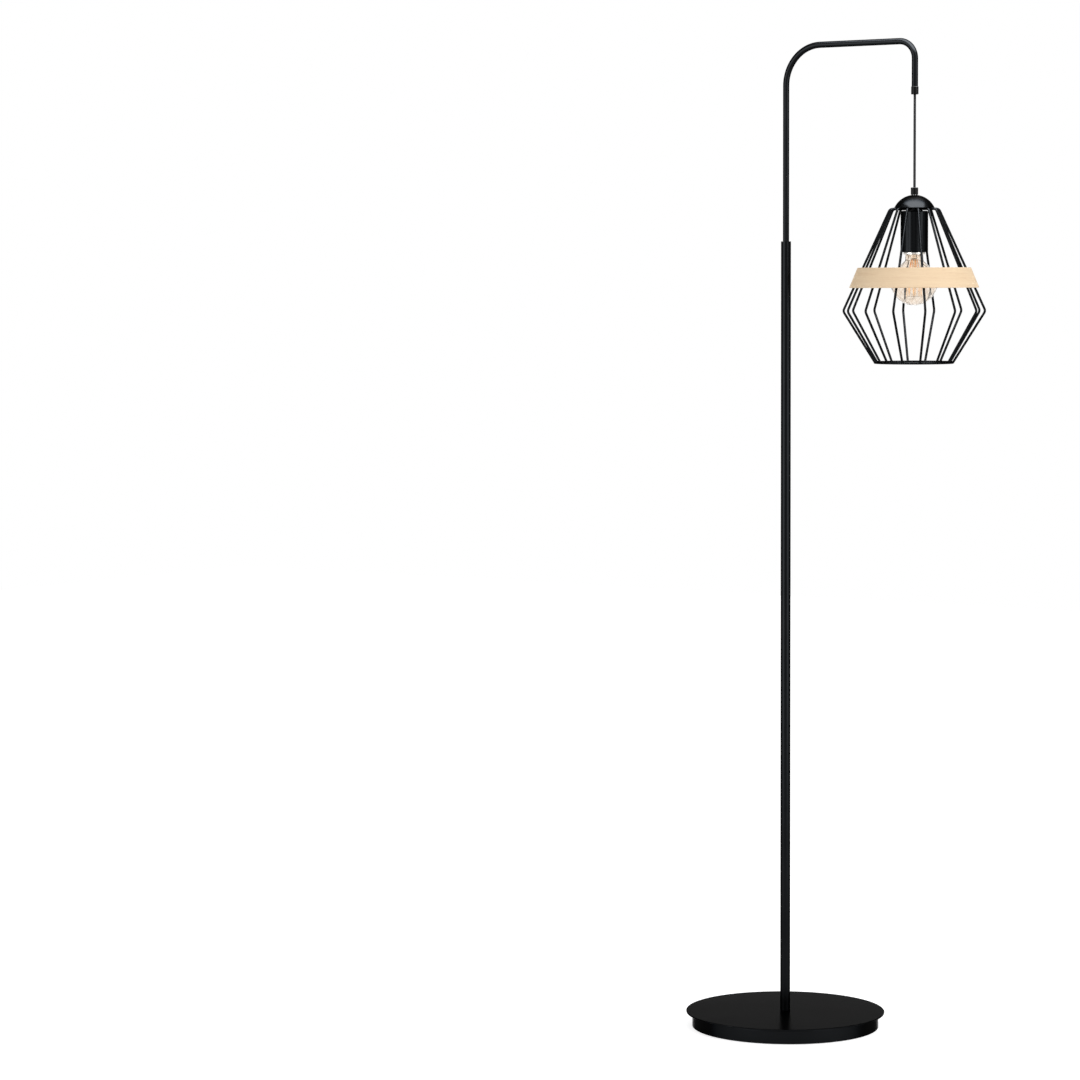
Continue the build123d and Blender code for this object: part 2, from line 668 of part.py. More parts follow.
# ---------------------------------------------------------------- all pieces
PIECES = {
    "base_pad": base_pad,
    "base_weight": base_weight,
    "base_skirt": base_skirt,
    "base_plate": base_plate,
    "base_grommet": base_grommet,
    "base_terminal": base_terminal,
    "tie_rod": tie_rod,
    "tie_washer": tie_washer,
    "tie_nut": tie_nut,
    "pole_tube": pole_tube,
    "pole_plug": pole_plug,
    "pole_bush": pole_bush,
    "pole_lead": pole_lead,
    "arm_tube": arm_tube,
    "arm_lead": arm_lead,
    "arm_ferrule": arm_ferrule,
    "cord_bend": cord_bend,
    "pendant_cord": pendant_cord,
    "cord_grip": cord_grip,
    "shade_rod": shade_rod,
    "holder_lead": holder_lead,
    "dome_cap": dome_cap,
    "dome_nut": dome_nut,
    "cage_hub": cage_hub,
    "cage_ring": cage_ring,
    "wood_band": wood_band,
    "hub_washer": hub_washer,
    "holder_sleeve": holder_sleeve,
    "sleeve_nut": sleeve_nut,
    "socket_body": socket_body,
    "socket_shell": socket_shell,
    "socket_contact": socket_contact,
    "socket_screws": socket_screws,
    "bulb_globe": bulb_globe,
    "bulb_cap": bulb_cap,
    "bulb_insulator": bulb_insulator,
    "bulb_tip": bulb_tip,
    "bulb_stem": bulb_stem,
    "bulb_supports": bulb_supports,
    "bulb_filaments": bulb_filaments,
}

os.makedirs("parts", exist_ok=True)
for node, make in PIECES.items():
    export_step(make(), f"parts/{node}.step")
for number in range(WIRE_COUNT):
    export_step(cage_wire(number), f"parts/cage_wire_{number + 1:02d}.step")
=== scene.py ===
import json
import math

import bpy
from mathutils import Matrix, Vector, noise


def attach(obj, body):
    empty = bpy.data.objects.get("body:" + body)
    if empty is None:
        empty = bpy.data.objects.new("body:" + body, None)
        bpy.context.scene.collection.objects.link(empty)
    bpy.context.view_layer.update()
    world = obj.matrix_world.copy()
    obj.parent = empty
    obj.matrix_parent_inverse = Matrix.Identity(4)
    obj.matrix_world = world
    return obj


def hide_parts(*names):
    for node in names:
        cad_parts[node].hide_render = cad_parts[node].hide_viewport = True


# Looks of the wire cage floor lamp, in metres.  The pole stands on the Z axis, and the shade hangs
# at x = ARM_REACH.  Radii of the shade's pieces are from the axis there, and heights from the floor.

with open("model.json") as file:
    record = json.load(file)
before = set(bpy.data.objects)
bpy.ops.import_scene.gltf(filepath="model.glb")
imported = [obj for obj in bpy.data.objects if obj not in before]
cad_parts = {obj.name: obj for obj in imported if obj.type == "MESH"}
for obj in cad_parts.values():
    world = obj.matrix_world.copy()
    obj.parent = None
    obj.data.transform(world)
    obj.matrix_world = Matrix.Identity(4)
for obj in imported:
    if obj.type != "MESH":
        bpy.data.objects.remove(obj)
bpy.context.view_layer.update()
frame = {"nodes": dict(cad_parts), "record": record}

# ---------------------------------------------------------------- sizes shared with the CAD model
ARM_REACH = 0.2355
FERRULE_Z = 1.5001          # lower face of the ferrule, where the cord leaves it
GRIP_TOP = 1.3552           # upper face of the cord grip
CORD_INSERT = 0.003         # length of the cord inside the grip
CORD_R = 0.002
SPOKE_Z = 1.3218            # axis of the spokes
HUB_R = 0.015               # rim of the disc that the spokes are welded to
WIRE_COUNT = 14
RING_Z = 1.0813
RING_R = 0.0611
SOCKET_LOW = 1.2511         # lower edge of the lamp holder
CAP_LOW = 1.2503            # the bulb's screw cap
CAP_TOP = 1.2723
CAP_R = 0.01315
CAP_WALL = 0.0010
CAP_TAPER = 0.003           # height of the cone at the cap's upper end
CAP_END_R = 0.008
FILAMENT_TOP = 1.2430       # upper and lower hooks of the filament
FILAMENT_LOW = 1.1853
FILAMENT_TOP_R = 0.0048
FILAMENT_LOW_R = 0.0120
FILAMENT_COUNT = 8          # upper hooks, with a lower one between each two


# ---------------------------------------------------------------- camera, fitted to the photograph
VIEW_AZIMUTH = math.radians(31.5585)
CAMERA_DISTANCE = 6.00361
CAMERA_HEIGHT = 1.21550
CAMERA_YAW = math.radians(-3.7847)
CAMERA_PITCH = math.radians(4.0226)
CAMERA_ROLL = math.radians(-0.2005)
FOCAL_PIXELS = 3722.91
FRAME_PIXELS = 1080.0
SENSOR_MM = 36.0
CLIP = (0.1, 100)


def make_camera():
    """The photograph's camera: turned by yaw, then pitch, then roll from level and straight on."""
    a = VIEW_AZIMUTH
    ahead = Vector((-math.sin(a), math.cos(a), 0))
    right = Vector((math.cos(a), math.sin(a), 0))
    up = Vector((0, 0, 1))
    ahead, right = (ahead * math.cos(CAMERA_YAW) + right * math.sin(CAMERA_YAW),
                    right * math.cos(CAMERA_YAW) - ahead * math.sin(CAMERA_YAW))
    ahead, up = (ahead * math.cos(CAMERA_PITCH) - up * math.sin(CAMERA_PITCH),
                 up * math.cos(CAMERA_PITCH) + ahead * math.sin(CAMERA_PITCH))
    right, up = (right * math.cos(CAMERA_ROLL) + up * math.sin(CAMERA_ROLL),
                 up * math.cos(CAMERA_ROLL) - right * math.sin(CAMERA_ROLL))
    turn = Matrix((right, up, -ahead)).transposed().to_4x4()
    data = bpy.data.cameras.new("camera")
    data.sensor_width = SENSOR_MM
    data.lens = FOCAL_PIXELS / FRAME_PIXELS * SENSOR_MM
    data.clip_start, data.clip_end = CLIP
    camera = bpy.data.objects.new("camera", data)
    place = Vector((math.sin(a), -math.cos(a), 0)) * CAMERA_DISTANCE + Vector((0, 0, CAMERA_HEIGHT))
    camera.matrix_world = Matrix.Translation(place) @ turn
    bpy.context.scene.collection.objects.link(camera)
    bpy.context.scene.camera = camera


# ---------------------------------------------------------------- small node helpers
class Shader:
    """A material with a Principled shader, and short ways to add nodes to it."""

    def __init__(self, name):
        self.material = bpy.data.materials.new(name)
        self.material.use_nodes = True
        self.tree = self.material.node_tree
        self.surface = self.tree.nodes["Principled BSDF"]
        self.place = self.add("ShaderNodeTexCoord").outputs["Object"]

    def add(self, kind, **settings):
        node = self.tree.nodes.new(kind)
        for key, value in settings.items():
            setattr(node, key, value)
        return node

    def join(self, start, end):
        self.tree.links.new(start, end)

    def put(self, **values):
        """Sets the shader's own sockets, named with underscores for spaces."""
        for key, value in values.items():
            self.surface.inputs[key.replace("_", " ")].default_value = value

    def math(self, operation, a, b=0.0):
        node = self.add("ShaderNodeMath", operation=operation)
        for socket, value in zip(node.inputs, (a, b)):
            if isinstance(value, (int, float)):
                socket.default_value = value
            else:
                self.join(value, socket)
        return node.outputs[0]

    def stretched(self, scale):
        """The place on the object, times a scale for each axis."""
        node = self.add("ShaderNodeMapping")
        node.inputs["Scale"].default_value = scale
        self.join(self.place, node.inputs["Vector"])
        return node.outputs["Vector"]

    def noise(self, scale, detail=3.0, roughness=0.5, vector=None, distortion=0.0):
        node = self.add("ShaderNodeTexNoise")
        node.inputs["Scale"].default_value = scale
        node.inputs["Detail"].default_value = detail
        node.inputs["Roughness"].default_value = roughness
        node.inputs["Distortion"].default_value = distortion
        self.join(vector or self.place, node.inputs["Vector"])
        return node.outputs["Fac"]

    def between(self, value, low, high, from_low=0.3, from_high=0.7):
        """The value's range from_low to from_high spread from low to high."""
        node = self.add("ShaderNodeMapRange")
        self.join(value, node.inputs["Value"])
        for key, number in (("From Min", from_low), ("From Max", from_high), ("To Min", low), ("To Max", high)):
            node.inputs[key].default_value = number
        return node.outputs["Result"]

    def colours(self, value, *stops):
        """A colour ramp, from (position, linear RGB) stops."""
        node = self.add("ShaderNodeValToRGB")
        ramp = node.color_ramp
        while len(ramp.elements) < len(stops):
            ramp.elements.new(0.5)
        for element, (position, rgb) in zip(ramp.elements, stops):
            element.position = position
            element.color = (*rgb, 1)
        self.join(value, node.inputs["Fac"])
        return node.outputs["Color"]

    def bump(self, height, strength, distance, below=None):
        """A bumped normal, on top of the normal below if one is given."""
        node = self.add("ShaderNodeBump")
        node.inputs["Strength"].default_value = strength
        node.inputs["Distance"].default_value = distance
        self.join(height, node.inputs["Height"])
        if below is not None:
            self.join(below, node.inputs["Normal"])
        return node.outputs["Normal"]

    def into(self, value, socket):
        self.join(value, self.surface.inputs[socket])


def scaled(rgb, factor):
    return tuple(channel * factor for channel in rgb)


def plain_finish(name, rgb, rough, spread, rough_spread, grain, blotch, bump, depth, **sockets):
    """A one-colour finish: slow colour and gloss changes, and a fine grain that catches the light.

    The grain and the blotches have their frequency a metre, and the grain's bump its strength and depth.
    """
    s = Shader(name)
    slow = s.noise(blotch, 3, 0.55)
    fine = s.noise(grain, 2, 0.6)
    s.into(s.colours(slow, (0.3, scaled(rgb, 1 - spread)), (0.7, scaled(rgb, 1 + spread))), "Base Color")
    s.into(s.between(slow, rough - rough_spread, rough + rough_spread), "Roughness")
    s.into(s.bump(fine, bump, depth), "Normal")
    s.put(**sockets)
    return s.material


# ---------------------------------------------------------------- materials by slot
def powder_coat(name, rgb, rough, edge):
    """Satin powder coat: a fine orange peel over metal, and edge, its tint at grazing angles."""
    s = Shader(name)
    slow = s.noise(9, 3, 0.5)
    peel = s.noise(1500, 2, 0.55)
    speck = s.noise(5200, 1, 0.5)
    s.into(s.colours(slow, (0.3, scaled(rgb, 0.88)), (0.7, scaled(rgb, 1.12))), "Base Color")
    s.into(s.between(slow, rough - 0.03, rough + 0.04), "Roughness")
    s.into(s.bump(peel, 0.07, 0.00002, s.bump(speck, 0.04, 0.00001)), "Normal")
    s.put(Metallic=1.0, Specular_Tint=(edge, edge, edge, 1), Coat_Weight=0.02, Coat_Roughness=0.32)
    return s.material


def shade_coordinates(s):
    """Sockets for x and y from the shade's axis, the distance from it, and the height."""
    split = s.add("ShaderNodeSeparateXYZ")
    s.join(s.place, split.inputs[0])
    x = s.math("SUBTRACT", split.outputs["X"], ARM_REACH)
    y = split.outputs["Y"]
    out = s.math("SQRT", s.math("ADD", s.math("MULTIPLY", x, x), s.math("MULTIPLY", y, y)))
    return x, y, out, split.outputs["Z"]


def helix(s, count, rise, sway=None):
    """Sine of count turns about the shade's axis and rise radians a metre of height, with sway added."""
    x, y, _, height = shade_coordinates(s)
    turns = s.math("MULTIPLY", s.math("ARCTAN2", y, x), count)
    if sway is not None:
        turns = s.math("ADD", turns, sway)
    return s.math("SINE", s.math("ADD", turns, s.math("MULTIPLY", height, rise)))


def pale_wood():
    """Steam-bent birch: long grain round the hoop, fine pores, faint growth bands."""
    s = Shader("pale_wood")
    x, y, out, height = shade_coordinates(s)

    def grain_space(around, across):
        """Coordinates with the grain's frequency round the hoop and across it."""
        node = s.add("ShaderNodeCombineXYZ")
        s.join(s.math("MULTIPLY", x, around), node.inputs[0])
        s.join(s.math("MULTIPLY", y, around), node.inputs[1])
        s.join(s.math("MULTIPLY", s.math("ADD", height, s.math("MULTIPLY", out, 0.35)), across), node.inputs[2])
        return node.outputs[0]

    bands = s.noise(1.0, 3, 0.55, grain_space(9, 210), 0.35)
    fibre = s.noise(1.0, 4, 0.65, grain_space(55, 1500))
    pores = s.noise(1.0, 1, 0.4, grain_space(170, 2600))
    cloud = s.noise(16, 2, 0.5)
    tone = s.math("ADD", s.math("MULTIPLY", bands, 0.50), s.math("MULTIPLY", fibre, 0.32))
    tone = s.math("ADD", tone, s.math("MULTIPLY", cloud, 0.18))
    tone = s.math("SUBTRACT", tone, s.math("MULTIPLY", s.between(pores, 0, 1, 0.62, 0.74), 0.10))
    s.into(s.colours(tone, (0.30, (0.785, 0.562, 0.352)), (0.46, (0.875, 0.662, 0.436)),
                     (0.58, (0.915, 0.710, 0.480)), (0.72, (0.935, 0.748, 0.522))), "Base Color")
    s.into(s.between(fibre, 0.52, 0.66), "Roughness")
    s.into(s.bump(fibre, 0.16, 0.00012, s.bump(pores, 0.10, 0.00006)), "Normal")
    s.put(Specular_IOR_Level=0.06)
    return s.material


def swirl_glass(name, tint, line):
    """Tinted blown glass with fine ribs that wind round the globe and bend what is seen through them."""
    s = Shader(name)
    ribs = helix(s, 14.0, 400.0, s.math("MULTIPLY", s.noise(30, 2, 0.45), 3.0))
    film = s.noise(120, 2, 0.5)
    s.into(s.colours(ribs, (0.0, tint), (0.62, scaled(tint, 0.97)), (0.93, line)), "Base Color")
    s.into(s.between(film, 0.0, 0.03), "Roughness")
    s.into(s.bump(ribs, 0.07, 0.0010), "Normal")
    s.put(Transmission_Weight=1.0, IOR=1.46, Specular_IOR_Level=0.08)
    return s.material


def drawn_glass(name, tint):
    """Drawn glass: soft ripples along its length."""
    s = Shader(name)
    slow = s.noise(1.0, 2, 0.5, s.stretched((420, 420, 60)))
    s.into(s.colours(slow, (0.3, scaled(tint, 0.95)), (0.7, tint)), "Base Color")
    s.into(s.between(slow, 0.01, 0.05), "Roughness")
    s.into(s.bump(slow, 0.10, 0.001), "Normal")
    s.put(Transmission_Weight=1.0, IOR=1.46, Specular_IOR_Level=0.2)
    return s.material


def cord_jacket():
    """Braided textile sleeve: two families of fine strands that cross."""
    s = Shader("cord_jacket")
    strands, rise = 6.0, 5200.0
    weave = s.math("MAXIMUM", helix(s, strands, rise), helix(s, -strands, rise))
    fuzz = s.noise(4200, 3, 0.6)
    tone = s.math("ADD", s.math("MULTIPLY", weave, 0.28), s.math("MULTIPLY", fuzz, 0.6))
    s.into(s.colours(tone, (0.1, (0.010, 0.0105, 0.0115)), (0.7, (0.030, 0.031, 0.033))), "Base Color")
    s.into(s.between(fuzz, 0.72, 0.88), "Roughness")
    s.into(s.bump(weave, 0.35, 0.0002, s.bump(fuzz, 0.3, 0.0001)), "Normal")
    s.put(Specular_IOR_Level=0.10)
    return s.material


def turned_metal(name, rgb, rough):
    """Plated metal with fine turning marks round the shade's axis."""
    s = Shader(name)
    marks = s.noise(1.0, 3, 0.6, s.stretched((90, 90, 5200)))
    slow = s.noise(45, 2, 0.5)
    s.into(s.colours(slow, (0.3, scaled(rgb, 0.86)), (0.7, rgb)), "Base Color")
    s.into(s.between(marks, rough - 0.05, rough + 0.10), "Roughness")
    s.into(s.bump(marks, 0.10, 0.00004), "Normal")
    s.put(Metallic=1.0)
    return s.material


def filament():
    """Warm filament with a faint painted glow, orange above and yellow below."""
    s = Shader("filament")
    height = shade_coordinates(s)[3]
    slow = s.noise(420, 2, 0.5)
    tone = s.math("ADD", s.between(height, 0.0, 1.0, FILAMENT_LOW, FILAMENT_TOP), s.math("MULTIPLY", slow, 0.2))
    s.into(s.colours(tone, (0.1, (1.0, 0.66, 0.22)), (0.9, (0.95, 0.42, 0.13))), "Base Color")
    s.into(s.between(slow, 0.35, 0.55), "Roughness")
    # Painted glow: a faint emission that brightens the filament; it is not a light of the scene.
    s.put(Emission_Color=(1.0, 0.55, 0.20, 1), Emission_Strength=0.35)
    return s.material


BLACK = (0.0058, 0.0063, 0.0069)        # of the powder coat

MATERIALS = {
    "felt": plain_finish("felt", (0.055, 0.055, 0.058), rough=0.93, spread=0.3, rough_spread=0.04, grain=2600,
                         blotch=60, bump=0.6, depth=0.0003, Sheen_Weight=0.4),
    "cast_iron": plain_finish("cast_iron", (0.075, 0.072, 0.070), rough=0.62, spread=0.25, rough_spread=0.10,
                              grain=700, blotch=30, bump=0.5, depth=0.0004, Metallic=0.6),
    "black_paint": powder_coat("black_paint", BLACK, rough=0.22, edge=0.195),
    "black_wire": powder_coat("black_wire", BLACK, rough=0.24, edge=0.0),
    "rubber": plain_finish("rubber", (0.018, 0.018, 0.018), rough=0.72, spread=0.15, rough_spread=0.06,
                           grain=1500, blotch=60, bump=0.2, depth=0.00008),
    "white_plastic": plain_finish("white_plastic", (0.74, 0.74, 0.71), rough=0.42, spread=0.03, rough_spread=0.05,
                                  grain=1300, blotch=40, bump=0.08, depth=0.00004),
    "black_plastic": plain_finish("black_plastic", (0.0015, 0.0016, 0.0018), rough=0.27, spread=0.12,
                                  rough_spread=0.04, grain=1900, blotch=50, bump=0.06, depth=0.00002,
                                  Specular_IOR_Level=0.07),
    "zinc_steel": turned_metal("zinc_steel", (0.58, 0.59, 0.61), rough=0.34),
    "cord_jacket": cord_jacket(),
    "pale_wood": pale_wood(),
    "brass": turned_metal("brass", (0.78, 0.56, 0.24), rough=0.28),
    "nickel": turned_metal("nickel", (0.66, 0.64, 0.60), rough=0.24),
    "amber_glass": swirl_glass("amber_glass", tint=(0.945, 0.880, 0.805), line=(0.850, 0.755, 0.665)),
    "clear_glass": drawn_glass("clear_glass", tint=(0.96, 0.85, 0.72)),
    "black_glass": plain_finish("black_glass", (0.012, 0.011, 0.016), rough=0.12, spread=0.2, rough_spread=0.03,
                                grain=800, blotch=50, bump=0.03, depth=0.00003),
    "filament": filament(),
}


def dress_cad_nodes():
    """Every CAD node takes the finish of its own slot."""
    for part in frame["record"]["subparts"]:
        mesh = frame["nodes"][part["node"]].data
        mesh.materials.clear()
        mesh.materials.append(MATERIALS[part["material_slot"]])


# ---------------------------------------------------------------- pieces in mesh code
def add_piece(name, points, faces, body, slot):
    """A mesh object that rides on a body and has its slot's finish."""
    mesh = bpy.data.meshes.new(name)
    mesh.from_pydata(points, [], faces)
    mesh.validate()
    mesh.shade_smooth()
    mesh.materials.append(MATERIALS[slot])
    piece = bpy.data.objects.new(name, mesh)
    bpy.context.scene.collection.objects.link(piece)
    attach(piece, body)
    return piece


def ring_faces(rings, around, closed=False):
    """Quads between rings of points, each with the same number of points around."""
    faces = []
    for i in range(rings if closed else rings - 1):
        for j in range(around):
            k = (j + 1) % around
            a, b = i * around, (i + 1) % rings * around
            faces.append((a + j, a + k, b + k, b + j))
    return faces


def make_cord():
    """The pendant cord, pulled straight by the shade."""
    low = GRIP_TOP - CORD_INSERT
    data = bpy.data.curves.new("pendant_flex", "CURVE")
    data.dimensions = "3D"
    data.bevel_depth = CORD_R
    data.bevel_resolution = 8
    data.resolution_u = 6
    data.use_fill_caps = True
    line = data.splines.new("NURBS")
    line.points.add(3)
    for point, share in zip(line.points, (0.0, 0.3, 0.7, 1.0)):
        point.co = (ARM_REACH, 0, FERRULE_Z + (low - FERRULE_Z) * share, 1)
    line.order_u = 3
    line.use_endpoint_u = True
    data.materials.append(MATERIALS["cord_jacket"])
    cord = bpy.data.objects.new("pendant_flex", data)
    bpy.context.scene.collection.objects.link(cord)
    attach(cord, "cord")
    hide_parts("pendant_cord")


THREAD_PITCH = 0.00362
THREAD_DEPTH = 0.0007
THREAD_RUN = (0.0026, 0.0172)       # first and last height of the thread above the cap's rim
CAP_AROUND, CAP_UP = 96, 90         # quads


def shade_point(r, turn, z):
    return (ARM_REACH + r * math.cos(turn), r * math.sin(turn), z)


def thread_radius(height, turn):
    """Outside of the bulb's cap: a rolled round thread that runs out at both ends."""
    rise = height - CAP_LOW
    first, last = THREAD_RUN
    fade = max(0.0, min(1.0, (rise - first) / THREAD_PITCH, (last - rise) / THREAD_PITCH))
    wave = 0.5 - 0.5 * math.cos(2 * math.pi * (rise - first) / THREAD_PITCH - turn)
    return CAP_R - THREAD_DEPTH * fade * wave


def make_cap():
    """The bulb's screw cap, rolled from thin sheet."""
    turns = [2 * math.pi * j / CAP_AROUND for j in range(CAP_AROUND)]
    shoulder = CAP_TOP - CAP_TAPER
    points = []
    for i in range(CAP_UP + 1):
        z = CAP_LOW + (shoulder - CAP_LOW) * i / CAP_UP
        points += [shade_point(thread_radius(z, turn), turn, z) for turn in turns]
    inner_r, inner_end_r = CAP_R - CAP_WALL, CAP_END_R - CAP_WALL
    for r, z in ((CAP_END_R, CAP_TOP), (inner_end_r, CAP_TOP), (inner_end_r, CAP_TOP - CAP_WALL),
                 (inner_r, shoulder - CAP_WALL), (inner_r, CAP_LOW)):
        points += [shade_point(r, turn, z) for turn in turns]
    rings = len(points) // CAP_AROUND
    cap = add_piece("bulb_screw_cap", points, ring_faces(rings, CAP_AROUND, closed=True), "bulb", "nickel")
    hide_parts("bulb_cap")


def capped_faces(rings, around):
    """Quads between rings, and a face over each end."""
    faces = ring_faces(rings, around)
    faces.append(tuple(reversed(range(around))))
    faces.append(tuple(range((rings - 1) * around, rings * around)))
    return faces


BEAD_RINGS, BEAD_AROUND = 9, 14
BEAD_LUMPS = 0.16                       # share of the bead's radius
HUB_BEAD = (0.0022, 0.0019, 0.0013)     # radii along the wire, sideways and up
RING_BEAD = (0.0022, 0.0018, 0.0016)
RING_BEAD_OUT = 0.0006                  # from the ring's centre line, outwards and up
RING_BEAD_UP = 0.0011
RING_BEAD_TILT = 1.0                    # radians, along the wire's slope


def bead_points(centre, outward, size, seed):
    """A lumpy weld bead, longer along outward than across it."""
    side = outward.cross(Vector((0, 0, 1))).normalized()
    up = side.cross(outward).normalized()
    long_r, side_r, up_r = size
    points = []
    for i in range(BEAD_RINGS):
        tilt = math.pi * (i + 0.5) / BEAD_RINGS
        for j in range(BEAD_AROUND):
            turn = 2 * math.pi * j / BEAD_AROUND
            local = Vector((math.cos(tilt), math.sin(tilt) * math.cos(turn), math.sin(tilt) * math.sin(turn)))
            lump = 1 + BEAD_LUMPS * noise.noise(local * 1.7 + Vector((seed * 3.1, seed * 1.7, 0.4)))
            points.append(centre + (outward * local.x * long_r + side * local.y * side_r + up * local.z * up_r) * lump)
    return points, capped_faces(BEAD_RINGS, BEAD_AROUND)


def make_welds(name, radius, height, size, tilt):
    """A bead where each wire meets the hub or the ring, all in one piece."""
    points, faces = [], []
    for i in range(WIRE_COUNT):
        turn = 2 * math.pi * i / WIRE_COUNT
        flat = Vector((math.cos(turn), math.sin(turn), 0))
        centre = Vector((ARM_REACH, 0, height)) + flat * radius
        along_wire = (flat * math.cos(tilt) + Vector((0, 0, math.sin(tilt)))).normalized()
        more, more_faces = bead_points(centre, along_wire, size, i)
        start = len(points)
        points += [tuple(p) for p in more]
        faces += [tuple(start + k for k in face) for face in more_faces]
    add_piece(name, points, faces, "shade", "black_wire")


FILAMENT_R = 0.00032
FILAMENT_STEPS = 24         # points from one hook to the next
FILAMENT_EASE = 0.03        # how much closer the points lie at the hooks
FILAMENT_BOW = 0.0012       # how far each length bows out


def tube_along(path, radius, around=8):
    """Points and faces of a thin closed-ended tube that follows a path."""
    points = []
    for i, here in enumerate(path):
        ahead = (path[min(i + 1, len(path) - 1)] - path[max(i - 1, 0)]).normalized()
        side = ahead.cross(Vector((0.31, 0.17, 0.93)))
        side = side.normalized() if side.length > 0.05 else ahead.cross(Vector((1, 0, 0))).normalized()
        up = ahead.cross(side).normalized()
        for j in range(around):
            turn = 2 * math.pi * j / around
            points.append(here + side * radius * math.cos(turn) + up * radius * math.sin(turn))
    return points, capped_faces(len(path), around)


def filament_hook(index, top):
    r, z = (FILAMENT_TOP_R, FILAMENT_TOP) if top else (FILAMENT_LOW_R, FILAMENT_LOW)
    return Vector(shade_point(r, 2 * math.pi * index / FILAMENT_COUNT, z))


def make_filament():
    """One long filament that zigzags round the stem between the upper and the lower hooks."""
    hooks = []
    for i in range(FILAMENT_COUNT):
        hooks += [filament_hook(i, True), filament_hook(i + 0.5, False)]
    path = []
    for start, end in zip(hooks, hooks[1:]):
        for k in range(FILAMENT_STEPS):
            t = k / FILAMENT_STEPS
            point = start.lerp(end, t - math.sin(2 * math.pi * t) * FILAMENT_EASE)
            out = Vector((point.x - ARM_REACH, point.y, 0)).normalized()
            path.append(point + out * FILAMENT_BOW * math.sin(math.pi * t))
    path.append(hooks[-1])
    points, faces = tube_along(path, FILAMENT_R)
    piece = add_piece("bulb_filament_loop", [tuple(p) for p in points], faces, "bulb", "filament")
    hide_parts("bulb_filaments")


# radius, and height above the lamp holder's lower edge
LIP_OUTLINE = ((0.01645, 0.0034), (0.01680, 0.0033), (0.01700, 0.0028), (0.01700, 0.0006), (0.01685, 0.0001),
               (0.01640, -0.0002), (0.01560, -0.0002), (0.01500, -0.0001), (0.01500, 0.0000), (0.01560, 0.0000))
LIP_AROUND = 96


def make_socket_lip():
    """Bright rolled lip round the lamp holder's lower edge."""
    points = [shade_point(r, 2 * math.pi * j / LIP_AROUND, SOCKET_LOW + rise)
              for r, rise in LIP_OUTLINE for j in range(LIP_AROUND)]
    add_piece("socket_lip", points, ring_faces(len(LIP_OUTLINE), LIP_AROUND, closed=True), "shade", "nickel")


# ---------------------------------------------------------------- studio
FLOOR_SIZE = 14.0
FLOOR_COLOUR = (0.80, 0.80, 0.80, 1)
FLOOR_GLOW = 0.70           # what the camera sees of the floor besides the light that falls on it
ROOM_LIGHT = 0.68           # of the world, on matt surfaces
WHITE = (1, 1, 1, 1)


def node_tree(owner):
    """An empty node tree, and a short way to add to it."""
    owner.use_nodes = True
    tree = owner.node_tree
    tree.nodes.clear()

    def add(kind, **sockets):
        node = tree.nodes.new(kind)
        for key, value in sockets.items():
            node.inputs[key].default_value = value
        return node

    return tree, add


def seen_rays(tree, add):
    """1 for what the camera sees, directly, in gloss or through glass."""
    rays = add("ShaderNodeLightPath")
    seen = rays.outputs["Is Camera Ray"]
    for kind in ("Is Glossy Ray", "Is Transmission Ray"):
        either = add("ShaderNodeMath")
        either.operation = "MAXIMUM"
        tree.links.new(seen, either.inputs[0])
        tree.links.new(rays.outputs[kind], either.inputs[1])
        seen = either.outputs[0]
    return seen


def make_floor():
    """White floor, a little below pure white where the lamp's shadow falls."""
    material = bpy.data.materials.new("studio_floor")
    tree, add = node_tree(material)
    paint = add("ShaderNodeBsdfDiffuse", Color=FLOOR_COLOUR)
    glow = add("ShaderNodeEmission")
    lift = add("ShaderNodeMath")
    lift.operation = "MULTIPLY"
    lift.inputs[1].default_value = FLOOR_GLOW
    seen = seen_rays(tree, add)
    both = add("ShaderNodeAddShader")
    output = add("ShaderNodeOutputMaterial")
    for start, end in ((seen, lift.inputs[0]), (lift.outputs[0], glow.inputs["Strength"]),
                       (paint.outputs[0], both.inputs[0]), (glow.outputs[0], both.inputs[1]),
                       (both.outputs[0], output.inputs["Surface"])):
        tree.links.new(start, end)
    half = FLOOR_SIZE / 2
    mesh = bpy.data.meshes.new("studio_floor")
    mesh.from_pydata([(-half, -half, 0), (half, -half, 0), (half, half, 0), (-half, half, 0)], [], [(0, 1, 2, 3)])
    mesh.materials.append(material)
    floor = bpy.data.objects.new("studio_floor", mesh)
    bpy.context.scene.collection.objects.link(floor)


def make_world():
    """Plain room light, with a white background for what the camera sees and what gloss and glass show."""
    world = bpy.data.worlds.new("studio")
    bpy.context.scene.world = world
    tree, add = node_tree(world)
    room = add("ShaderNodeBackground", Color=WHITE, Strength=ROOM_LIGHT)
    white = add("ShaderNodeBackground", Color=WHITE, Strength=1.0)
    by_view = add("ShaderNodeMixShader")
    output = add("ShaderNodeOutputWorld")
    for start, end in ((seen_rays(tree, add), by_view.inputs[0]), (room.outputs[0], by_view.inputs[1]),
                       (white.outputs[0], by_view.inputs[2]), (by_view.outputs[0], output.inputs["Surface"])):
        tree.links.new(start, end)


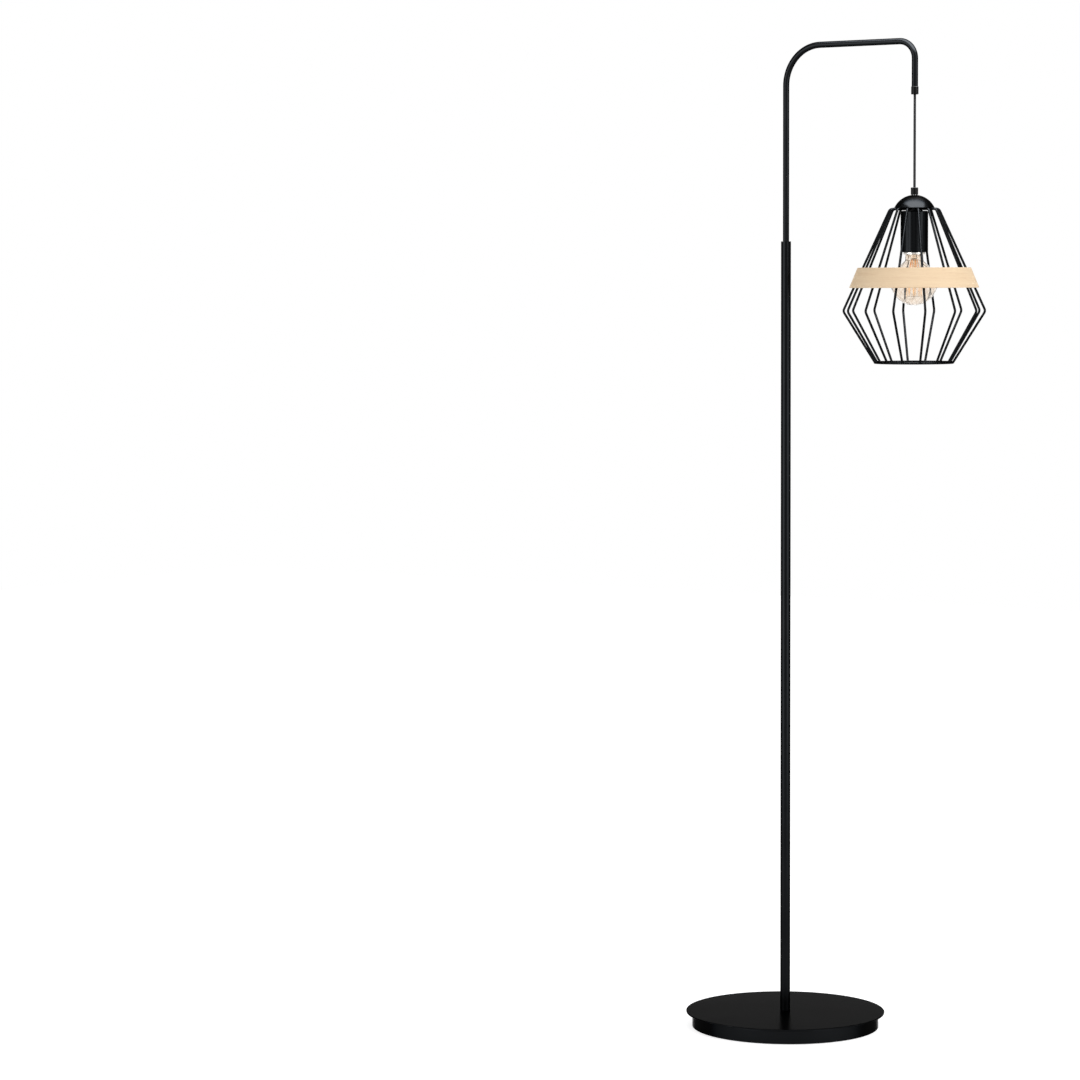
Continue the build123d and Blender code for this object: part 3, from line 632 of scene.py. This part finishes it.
def make_light(name, azimuth, elevation, distance, size, radiance, aim, mirrored=True, lighting=True):
    """A soft box that faces the point aim, (x, z).

    The azimuth is in degrees from the camera's.  Gloss shows the box if it is mirrored, and matt surfaces
    take its light if it is lighting.
    """
    data = bpy.data.lights.new(name, "AREA")
    data.shape = "RECTANGLE"
    data.size, data.size_y = size
    data.energy = radiance * math.pi * size[0] * size[1]
    a, e = VIEW_AZIMUTH + math.radians(azimuth), math.radians(elevation)
    away = Vector((math.sin(a) * math.cos(e), -math.cos(a) * math.cos(e), math.sin(e)))
    light = bpy.data.objects.new(name, data)
    light.rotation_mode = "QUATERNION"
    light.rotation_quaternion = away.to_track_quat("Z", "Y")
    light.location = Vector((aim[0], 0, aim[1])) + away * distance
    light.visible_camera = False
    light.visible_transmission = False
    light.visible_glossy = mirrored
    light.visible_diffuse = lighting
    bpy.context.scene.collection.objects.link(light)
    return light


def leave_out(light, *nodes):
    """Keeps a light off the named nodes."""
    spared = bpy.data.collections.new(light.name + "_leaves_out")
    for node in nodes:
        spared.objects.link(frame["nodes"][node])
    for entry in spared.collection_objects:
        entry.light_linking.link_state = "EXCLUDE"
    light.light_linking.receiver_collection = spared


PANEL_AIM = (0.1, 1.52)
DOME_AIM = (ARM_REACH, 1.335)
KEY_AIM = (0.1, 0.95)


def make_lights():
    """Two panels that stripe the black tubes, a box over the dome, and one light for matt surfaces."""
    for name, azimuth, radiance in (("panel_left", -52, 4.6), ("panel_right", 52, 4.0)):
        make_light(name, azimuth, elevation=0, distance=3.4, size=(2.5, 3.0), radiance=radiance, aim=PANEL_AIM,
                   lighting=False)
    top_box = make_light("top_box", azimuth=20, elevation=81, distance=0.80, size=(1.15, 1.15), radiance=26.0,
                         aim=DOME_AIM, lighting=False)
    leave_out(top_box, "bulb_globe", "bulb_stem", "base_plate", "base_skirt", "pole_tube")
    make_light("key", azimuth=36, elevation=34, distance=3.5, size=(1.4, 1.4), radiance=6.4, aim=KEY_AIM,
               mirrored=False)


make_camera()
make_cord()
dress_cad_nodes()
make_cap()
make_welds("hub_welds", HUB_R, SPOKE_Z, HUB_BEAD, tilt=0.0)
make_welds("ring_welds", RING_R + RING_BEAD_OUT, RING_Z + RING_BEAD_UP, RING_BEAD, tilt=RING_BEAD_TILT)
make_filament()
make_socket_lip()
make_floor()
make_world()
make_lights()
bpy.context.scene.view_settings.view_transform = "Standard"
